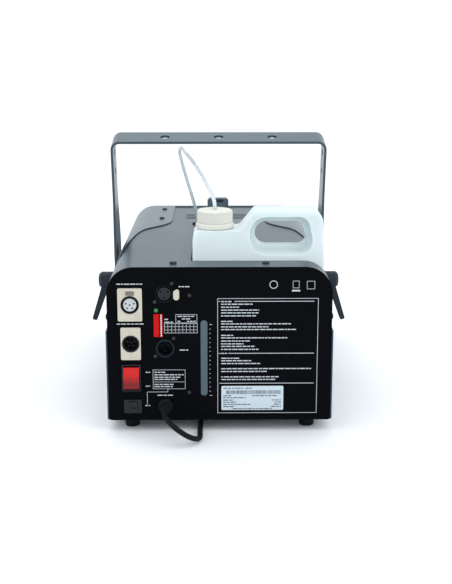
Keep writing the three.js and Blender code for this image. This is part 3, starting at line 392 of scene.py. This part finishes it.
def softLine(points, perSpan=8):
    # centripetal spline through the points
    ends = [2 * points[0] - points[1], *points, 2 * points[-1] - points[-2]]
    line = []
    for p0, p1, p2, p3 in zip(ends, ends[1:], ends[2:], ends[3:]):
        t1 = (p1 - p0).length ** 0.5
        t2 = t1 + (p2 - p1).length ** 0.5
        t3 = t2 + (p3 - p2).length ** 0.5
        for step in range(perSpan):
            t = t1 + (t2 - t1) * step / perSpan
            a1 = p0.lerp(p1, t / t1)
            a2 = p1.lerp(p2, (t - t1) / (t2 - t1))
            a3 = p2.lerp(p3, (t - t2) / (t3 - t2))
            b1 = a1.lerp(a2, t / t2)
            b2 = a2.lerp(a3, (t - t1) / (t3 - t1))
            line.append(b1.lerp(b2, (t - t1) / (t2 - t1)))
    return [*line, points[-1]]


def lengthOf(line):
    return sum((b - a).length for a, b in zip(line, line[1:]))


def tubeAlong(name, line, radius, finish, sides=4):
    curve = bpy.data.curves.new(name, "CURVE")
    curve.dimensions = "3D"
    curve.bevel_depth = radius
    curve.bevel_resolution = sides
    curve.use_fill_caps = True
    spline = curve.splines.new("POLY")
    spline.points.add(len(line) - 1)
    for point, spot in zip(spline.points, line):
        point.co = (*spot, 1)
    curve.materials.append(finishes[finish])
    item = bpy.data.objects.new(name, curve)
    bpy.context.collection.objects.link(item)
    return item


def asMesh(item):
    # a curve turned into a mesh piece of the same name
    graph = bpy.context.evaluated_depsgraph_get()
    mesh = bpy.data.meshes.new_from_object(item.evaluated_get(graph))
    name, finish = item.name, item.data.materials[0]
    bpy.data.objects.remove(item)
    mesh.materials.clear()
    mesh.materials.append(finish)
    mesh.shade_smooth()
    piece = bpy.data.objects.new(name, mesh)
    bpy.context.collection.objects.link(piece)
    return piece


hose = {
    "radius": 0.00225,
    "perSpan": 8,
    "grommet": 14,  # the point of the route that stands in the grommet
    "route": [
        (-5, 86, 241.5), (-5.2, 86.8, 247), (-6.2, 92, 252), (-10.2, 108, 260), (-18, 134, 270.5),
        (-28, 164, 283), (-40.5, 197, 295), (-47.6, 218, 300), (-50.2, 234, 295), (-47.3, 247, 278),
        (-41.5, 262, 254), (-35, 276, 229), (-30, 286.5, 207), (-28.5, 290, 193), (-28.5, 290, 180),
        (-30.5, 287, 166), (-40, 270, 146), (-56, 236, 118), (-72, 196, 86), (-82, 166, 62),
        (-84, 150, 56.2), (-84, 138.3, 56),
    ],
}


def makeHose(values):
    line = softLine([at(*p) for p in values["route"]], values["perSpan"])
    split = values["grommet"] * values["perSpan"]
    outside, inside = line[:split + 1], line[split:]
    free = asMesh(tubeAlong("hose_outside", outside, values["radius"], "clearTube"))
    under = asMesh(tubeAlong("hose_inside", inside, values["radius"], "clearTube"))
    for piece in (free, under):
        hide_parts("suction_hose")
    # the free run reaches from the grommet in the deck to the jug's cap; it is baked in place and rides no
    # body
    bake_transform(free)
    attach(under, "machine")
    lengthOf(outside)
    lengthOf(inside)
    print(f"hose: {lengthOf(outside):.3f} m outside, {lengthOf(inside):.3f} m inside")


makeHose(hose)

lead = {
    "radius": 0.003,
    "route": [
        (-61.3, -19, 30.7), (-61.3, -22.3, 30.7), (-61.3, -26, 30.7), (-59.8, -35.2, 29.6),
        (-55.6, -43, 26.6), (-49.3, -48.2, 22.2), (-41.8, -50, 16.9), (-34.3, -48.2, 11.6),
        (-28, -43, 7.3), (-23.8, -35.2, 4.4), (-22.3, -26, 3.2), (-22.3, -12, 3.2),
        (-21.5, 60, 3.2), (-20.5, 160, 3.2), (-21, 280, 3.2), (-22.2, 400, 3.2),
        (-22.3, 470, 3.2), (-22.3, 496, 3.2),
    ],
    "coil": {
        "centre": (16.7, 520), "radii": [39, 33, 27, 30, 36, 36], "perTurn": 28, "turns": 5.25,
        "low": 3.2,  # the floor turns' middle
        "shift": 0.25,  # the share of a turn in which it steps in or out
        "rise": 5.2, "riseAt": 2.72,  # up into the grooves
        "hump": 0.9, "humpAt": 3.75,  # over a lower turn on the way out
        "over": 6.0, "overAt": 4.55, "overSpan": 0.3,  # the last turn lies on the one before
    },
    "sleeve": (46, 556, 17.4),
}


def eased(t):
    t = max(0.0, min(1.0, t))
    return t * t * (3 - 2 * t)


def coilPoints(values):
    # clockwise from above: three turns on the floor, two in the grooves between them, then over the last one
    points = []
    steps = round(values["turns"] * values["perTurn"])
    for step in range(steps + 1):
        turn = step / values["perTurn"]
        whole = min(int(turn), len(values["radii"]) - 2)
        change = eased((turn - whole - 1 + values["shift"]) / values["shift"])
        radius = values["radii"][whole] + (values["radii"][whole + 1] - values["radii"][whole]) * change
        high = values["low"] + values["rise"] * eased((turn - values["riseAt"]) / values["shift"])
        crossing = max(0.0, min(1.0, (turn - values["humpAt"]) / values["shift"]))
        high += values["hump"] * math.sin(math.pi * crossing)
        high += values["over"] * eased((turn - values["overAt"]) / values["overSpan"])
        angle = math.pi - 2 * math.pi * turn
        points.append((values["centre"][0] + radius * math.cos(angle),
                       values["centre"][1] + radius * math.sin(angle), high))
    return points


tie = {"width": 9, "halfAcross": 11.6, "halfHigh": 6.9, "thickness": 0.0008}


def makeTie(values, coil):
    # a strap round the five turns on the plug's side of the coil
    centre = coil["centre"]
    radii = coil["radii"]
    middle = (min(radii) + max(radii)) / 2
    bm = bmesh.new()
    ringCut = bmesh.ops.create_circle(bm, segments=28, radius=1)["verts"]
    for v in ringCut:
        across, high = v.co.x, v.co.y
        v.co = (math.copysign(abs(across) ** 0.55, across) * values["halfAcross"], 0,
                math.copysign(abs(high) ** 0.7, high) * values["halfHigh"])
    wall = bmesh.ops.extrude_edge_only(bm, edges=bm.edges[:])["geom"]
    bmesh.ops.translate(bm, verts=[g for g in wall if isinstance(g, bmesh.types.BMVert)],
                        vec=(0, values["width"], 0))
    spot = at(centre[0] + middle, centre[1] - values["width"] / 2, values["halfHigh"] + 0.3)
    bmesh.ops.transform(bm, verts=bm.verts[:], matrix=Matrix.Translation(spot) @ Matrix.Scale(0.001, 4))
    bmesh.ops.recalc_face_normals(bm, faces=bm.faces[:])
    bmesh.ops.solidify(bm, geom=bm.faces[:], thickness=values["thickness"])
    return finished("coil_tie", bm, "blackPlastic", "machine")


def makeLead(values):
    wound = coilPoints(values["coil"])
    x, y, z = values["sleeve"]
    tail = [(x - 18, y, z - 2), (x - 6, y, z), (x, y, z)]
    line = softLine([at(*p) for p in [*values["route"], *wound, *tail]], 4)
    cable = tubeAlong("mains_lead", line, values["radius"], "rubber", 3)
    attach(cable, "machine")
    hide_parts("mains_cord", "mains_cord_coil")
    strap = makeTie(tie, values["coil"])
    at(*values["route"][1])
    lengthOf(line)
    2 * values["radius"]
    print(f"mains lead: {lengthOf(line):.3f} m")


makeLead(lead)
print("cords laid")


# screws: one dished pan head with a cross recess, copied to each place


head = {"flat": 0.62, "recess": 0.85, "crossReach": 0.42, "crossDepth": 0.55,
        "dome": ((0.86, 0.16), (0.97, 0.38), (1.0, 1.0))}  # shares of the radius, and drops


def addScrewHead(bm, spot, toward, radius, rise):
    # toward is the way the head faces
    made = bmesh.ops.create_grid(bm, x_segments=5, y_segments=5, size=0.5)["verts"]
    for v in made:
        reach = max(abs(v.co.x), abs(v.co.y))
        if reach > 0.45:
            v.co.xy = v.co.xy.normalized() * head["flat"]
        else:
            v.co.xy = v.co.xy * head["recess"]
        v.co.z = 1.0
    faces = {f for v in made for f in v.link_faces}
    cross = [f for f in faces
             if min(abs(f.calc_center_median().x), abs(f.calc_center_median().y)) < 0.05
             and f.calc_center_median().length < head["crossReach"]]
    rim = [e for e in {e for f in faces for e in f.edges} if len(e.link_faces) == 1]
    sunk = bmesh.ops.extrude_face_region(bm, geom=cross)["geom"]
    bmesh.ops.delete(bm, geom=cross, context="FACES_ONLY")
    bmesh.ops.translate(bm, verts=[g for g in sunk if isinstance(g, bmesh.types.BMVert)],
                        vec=(0, 0, -head["crossDepth"]))
    whole = set(made) | {g for g in sunk if isinstance(g, bmesh.types.BMVert)}
    for wide, drop in head["dome"]:
        ring = bmesh.ops.extrude_edge_only(bm, edges=rim)["geom"]
        rim = [g for g in ring if isinstance(g, bmesh.types.BMEdge)]
        for v in (g for g in ring if isinstance(g, bmesh.types.BMVert)):
            v.co.xy = v.co.xy.normalized() * wide
            v.co.z = 1 - drop
            whole.add(v)
    turn = Vector(toward).to_track_quat("Z", "Y").to_matrix().to_4x4()
    size = Matrix.Diagonal((radius, radius, rise, 1))
    bmesh.ops.transform(bm, verts=list(whole), matrix=Matrix.Translation(spot) @ turn @ size)


screws = {
    "panel_screws": ("darkSteel", "steel", "machine", (0, -1, 0), 0.0022, 0.0012,
                     [(-71.7, 0, 151.3), (-52.8, 0, 171.8), (-51.2, 0, 109.4), (-71.7, 0, 88.8),
                      (-33.3, 0, 158.5), (-34.3, 0, 46.4)]),
    "socket_screws": ("zinc", "zinc", "machine", (0, -1, 0), 0.0024, 0.001,
                      [(-107.3, -2.2, 162.4), (-90.5, -2.2, 135.4), (-98.9, -2.0, 117.6),
                       (-98.9, -2.0, 89.6)]),
    "strip_screws": ("darkSteel", "steel", "machine", (0, 0, 1), 0.0042, 0.0026,
                     [(-51.8, 22, 190), (51.8, 22, 190)]),
    "hood_screws": ("darkSteel", "steel", "machine", (0, 0, 1), 0.0036, 0.0022,
                    [(-78.8, 330, 191.5), (78.8, 330, 191.5), (-78.8, 415, 191.5)]),
    "left_side_screws": ("darkSteel", "steel", "machine", (-1, 0, 0), 0.0036, 0.0022,
                         [(-125, 10, 132), (-125, 10, 22), (-126.8, 430, 100), (-126.8, 430, 30)]),
    "right_side_screws": ("darkSteel", "steel", "machine", (1, 0, 0), 0.0036, 0.0022,
                          [(125, 10, 132), (125, 10, 22), (126.8, 430, 100), (126.8, 430, 30)]),
}


def makeScrews(values):
    for name, (finish, slot, body, toward, radius, rise, spots) in values.items():
        bm = bmesh.new()
        for spot in spots:
            addScrewHead(bm, at(*spot), toward, radius, rise)
        finished(name, bm, finish, body, 50)


makeScrews(screws)
print("screws set")


# print on the panel: rows of plain bars stand for wording

printed = {
    "proud": 0.00006,
    "letterHigh": 1.15, "ruleHalf": 0.35, "frameLine": 0.55, "ringLine": 0.8,
    "frame": (-2.5, 109.5, 21.5, 155.0),
    "rules": [(16.3, 105.0, 151.5), (-1.2, 0.6, 151.5), (9.5, 105.5, 91.8), (-1.1, 0.7, 91.8),
              (-0.2, 105.7, 56.8)],
    "rows": [
        (1.6, 14.4, 151.3), (1.6, 36.5, 148.3), (1.6, 21.5, 144.9), (1.6, 43.6, 141.6), (1.6, 43.1, 138.4),
        (1.6, 40.3, 135.0), (1.6, 15.5, 128.7), (1.6, 79.3, 125.8), (1.6, 54.3, 122.4), (1.6, 84.9, 119.3),
        (1.6, 15.0, 112.6), (1.6, 75.3, 109.7), (1.6, 33.6, 106.1), (1.6, 26.7, 102.8), (1.6, 40.1, 99.9),
        (1.6, 44.0, 96.4), (1.6, 8.2, 91.8), (1.7, 22.5, 86.1), (1.7, 35.2, 83.2), (1.7, 46.4, 79.9),
        (1.7, 102.5, 73.9), (1.7, 53.1, 70.6), (1.7, 66.2, 64.3), (1.7, 63.5, 61.2),
    ],
    "captions": [
        (-113.5, -85.0, 171.3), (-114.0, -84.4, 126.0), (-45.2, -32.4, 168.3), (-44.5, -35.0, 95.8),
        (-61.2, -56.6, 131.2), (-61.3, -51.6, 127.9), (-82.8, -78.0, 70.0), (-83.1, -78.2, 53.7),
        (-70.1, -52.8, 42.9), (-84.0, -78.6, 30.8), (-73.1, -60.0, 70.0), (-73.1, -40.4, 67.0),
        (-73.2, -44.2, 64.1), (-73.2, -47.6, 61.6), (-73.3, -50.8, 55.7), (-73.3, -52.7, 53.1),
        (-46.4, -28.0, 134.6), (-41.8, -32.6, 131.7), (-46.5, -43.7, 128.9), (-36.3, -26.5, 128.9),
    ],
    "boxes": [(-61.6, -24.6, 115.4, 126.6), (-48.8, -24.9, 127.0, 136.9), (-75.0, -38.5, 50.3, 73.0),
              (80.8, 88.0, 166.4, 174.6), (96.4, 105.2, 165.2, 174.4)],
    "table": (-61.6, -24.6, 115.4, 126.6, 9, 3),
    "leader": [(-58.6, -58.1, 46.8, 50.3), (-81.9, -58.1, 46.6, 47.1), (-81.9, -81.4, 32.8, 47.1),
               (-75.0, -38.5, 58.4, 58.8), (79.8, 88.9, 162.6, 164.4)],
    "ticks": {"x": -11.3, "low": 42.5, "high": 125.1, "count": 17},
    "round": (59.6, 170.4, 4.6),
}


def addBar(bm, left, right, low, high, lift=1.0):
    # a flat bar of ink on the panel, facing back
    spot = at((left + right) / 2, 0, (low + high) / 2) + Vector((0, -printed["proud"] * lift, 0))
    size = Matrix.Diagonal(((right - left) / 1000, (high - low) / 1000, 1, 1))
    bmesh.ops.create_grid(bm, x_segments=1, y_segments=1, size=0.5,
                          matrix=Matrix.Translation(spot) @ Matrix.Rotation(math.pi / 2, 4, "X") @ size)


def addWords(bm, left, right, middle, high, dice, lift=1.0):
    # short bars of uneven length, with gaps between them
    x = left
    while x < right - 0.6:
        wide = min(dice.uniform(2.2, 6.5), right - x)
        addBar(bm, x, x + wide, middle - high / 2, middle + high / 2, lift)
        x += wide + 0.9


def addOutline(bm, left, right, low, high, line=0.45):
    addBar(bm, left, right, high - line, high)
    addBar(bm, left, right, low, low + line)
    addBar(bm, left, left + line, low + line, high - line)
    addBar(bm, right - line, right, low + line, high - line)


def makePrint(values):
    dice = random.Random(4)
    bm = bmesh.new()
    addOutline(bm, *values["frame"], values["frameLine"])
    for left, right, middle in values["rules"]:
        addBar(bm, left, right, middle - values["ruleHalf"], middle + values["ruleHalf"])
    for left, right, middle in values["rows"] + values["captions"]:
        addWords(bm, left, right, middle, values["letterHigh"], dice)
    for edges in values["boxes"]:
        addOutline(bm, *edges)
    left, right, low, high, columns, rows = values["table"]
    for i in range(1, columns):
        x = left + (right - left) * i / columns
        addBar(bm, x - 0.2, x + 0.2, low + 0.5, high - 0.5)
    for i in range(1, rows):
        z = low + (high - low) * i / rows
        addBar(bm, left + 0.5, right - 0.5, z - 0.2, z + 0.2, 1.4)
    for edges in values["leader"]:
        addBar(bm, *edges)
    ticks = values["ticks"]
    for i in range(ticks["count"]):
        z = ticks["low"] + (ticks["high"] - ticks["low"]) * i / (ticks["count"] - 1)
        wide = 3.0 if i in (0, ticks["count"] - 1) else 1.1
        addBar(bm, ticks["x"], ticks["x"] + wide, z - 0.3, z + 0.3)
    return finished("panel_print", bm, "printInk", "machine", 0)


def makeRingMark(values):
    x, z, radius = values["round"]
    bm = bmesh.new()
    bmesh.ops.create_circle(bm, segments=28, radius=radius)
    inner = bmesh.ops.extrude_edge_only(bm, edges=bm.edges[:])["geom"]
    bmesh.ops.scale(bm, verts=[g for g in inner if isinstance(g, bmesh.types.BMVert)],
                    vec=(1 - values["ringLine"] / radius,) * 3)
    spot = at(x, 0, z) + Vector((0, -values["proud"], 0))
    bmesh.ops.transform(bm, verts=bm.verts[:], matrix=Matrix.Translation(spot)
                        @ Matrix.Rotation(math.pi / 2, 4, "X") @ Matrix.Scale(0.001, 4))
    finished("ring_mark", bm, "printInk", "machine", 0)


makePrint(printed)
makeRingMark(printed)

label = {
    "edges": (1.9, 71.7, 25.1, 53.6),
    "thickness": 0.00012,
    "bars": (7.3, 68.4, 44.0, 48.4),
    "rows": [(4.0, 27.0, 50.9), (28.9, 36.4, 50.9), (36.5, 65.6, 42.0), (4.0, 13.0, 42.0), (4.0, 29.5, 39.7),
             (4.0, 15.8, 36.9), (4.0, 18.7, 34.4), (4.0, 34.7, 31.8), (4.0, 15.9, 29.2), (59.1, 69.1, 36.9),
             (62.0, 69.1, 34.4), (61.0, 69.1, 31.8), (57.9, 69.2, 29.2), (14.6, 59.2, 26.6)],
}


def makeLabel(values):
    left, right, low, high = values["edges"]
    bm = bmesh.new()
    bmesh.ops.create_cube(bm, size=1)
    size = Matrix.Diagonal(((right - left) / 1000, values["thickness"], (high - low) / 1000, 1))
    spot = at((left + right) / 2, 0, (low + high) / 2) - Vector((0, values["thickness"] / 2, 0))
    bmesh.ops.transform(bm, verts=bm.verts[:], matrix=Matrix.Translation(spot) @ size)
    corners = [e for e in bm.edges if abs((e.verts[0].co - e.verts[1].co).y) > 0]
    bmesh.ops.bevel(bm, geom=corners, offset=0.0012, affect="EDGES", segments=3, profile=0.5, material=-1)
    finished("rating_label", bm, "labelPaper", "machine", 0)
    dice = random.Random(9)
    bm = bmesh.new()
    lift = (values["thickness"] + 0.00005) / printed["proud"]
    for a, b, middle in values["rows"]:
        addWords(bm, a, b, middle, 1.1, dice, lift)
    a, b, low, high = values["bars"]
    x = a
    while x < b:
        wide = dice.choice((0.4, 0.6, 0.9))
        addBar(bm, x, x + wide, low, high, lift)
        x += wide + dice.choice((0.5, 0.7))
    finished("label_print", bm, "labelInk", "machine", 0)


makeLabel(label)
print("print and label laid")

# a strip in the level slot, coloured grey-blue with the painted shade of the jug's milky wall behind it

window = {"x": -17.4, "low": 42.1, "high": 130.2, "width": 8, "play": 0.15, "front": 0.35, "back": 1.2}


def makeWindow(values):
    radius = values["width"] / 2 - values["play"]
    span = (values["high"] - values["low"]) / 2 - values["width"] / 2
    bm = bmesh.new()
    bmesh.ops.create_circle(bm, segments=24, radius=radius, cap_ends=True)
    for v in bm.verts:
        v.co.y += math.copysign(span, v.co.y)
    front = bmesh.ops.extrude_face_region(bm, geom=bm.faces[:])["geom"]
    bmesh.ops.translate(bm, verts=[g for g in front if isinstance(g, bmesh.types.BMVert)],
                        vec=(0, 0, values["back"] - values["front"]))
    spot = at(values["x"], values["back"], (values["low"] + values["high"]) / 2)
    bmesh.ops.transform(bm, verts=bm.verts[:], matrix=Matrix.Translation(spot)
                        @ Matrix.Rotation(math.pi / 2, 4, "X") @ Matrix.Scale(0.001, 4))
    bmesh.ops.recalc_face_normals(bm, faces=bm.faces[:])
    # the strip carries the painted shade of the jug wall, not a clear window
    finished("level_window", bm, "slotPaintedShade", "machine", 30)


makeWindow(window)
print("level window set")


# floor and lights

studio = {"floor": 0.97, "sky": (1.06, 1.13, 1.19), "key": 10, "fill": 5}


def addLight(name, spot, aim, size, power):
    data = bpy.data.lights.new(name, "AREA")
    data.size = size
    data.energy = power
    item = bpy.data.objects.new(name, data)
    bpy.context.collection.objects.link(item)
    item.location = spot
    item.rotation_euler = (Vector(spot) - Vector(aim)).to_track_quat("Z", "Y").to_euler()


def makeStudio(values):
    bpy.context.scene.view_settings.view_transform = "Standard"
    world = bpy.data.worlds.new("studio")
    bpy.context.scene.world = world
    world.use_nodes = True
    world.node_tree.nodes["Background"].inputs[0].default_value = (*values["sky"], 1)
    bm = bmesh.new()
    bmesh.ops.create_grid(bm, x_segments=1, y_segments=1, size=40)
    mesh = bpy.data.meshes.new("floor")
    bm.to_mesh(mesh)
    bm.free()
    paper = Finish("paper", Roughness=0.9, Specular_IOR_Level=0.1)
    tone = values["floor"]
    paper.set("Base_Color", paper.blend(paper.noise(3, 2), (tone - 0.01,) * 3, (tone,) * 3))
    mesh.materials.append(paper.material)
    floor = bpy.data.objects.new("floor", mesh)
    bpy.context.collection.objects.link(floor)
    addLight("over", (-0.3, 0.5, 1.9), (0, 0, 0.1), 1.8, values["key"])
    addLight("side", (1.3, -1.2, 1.2), (0, 0, 0.15), 1.2, values["fill"])


makeStudio(studio)
print("studio set")
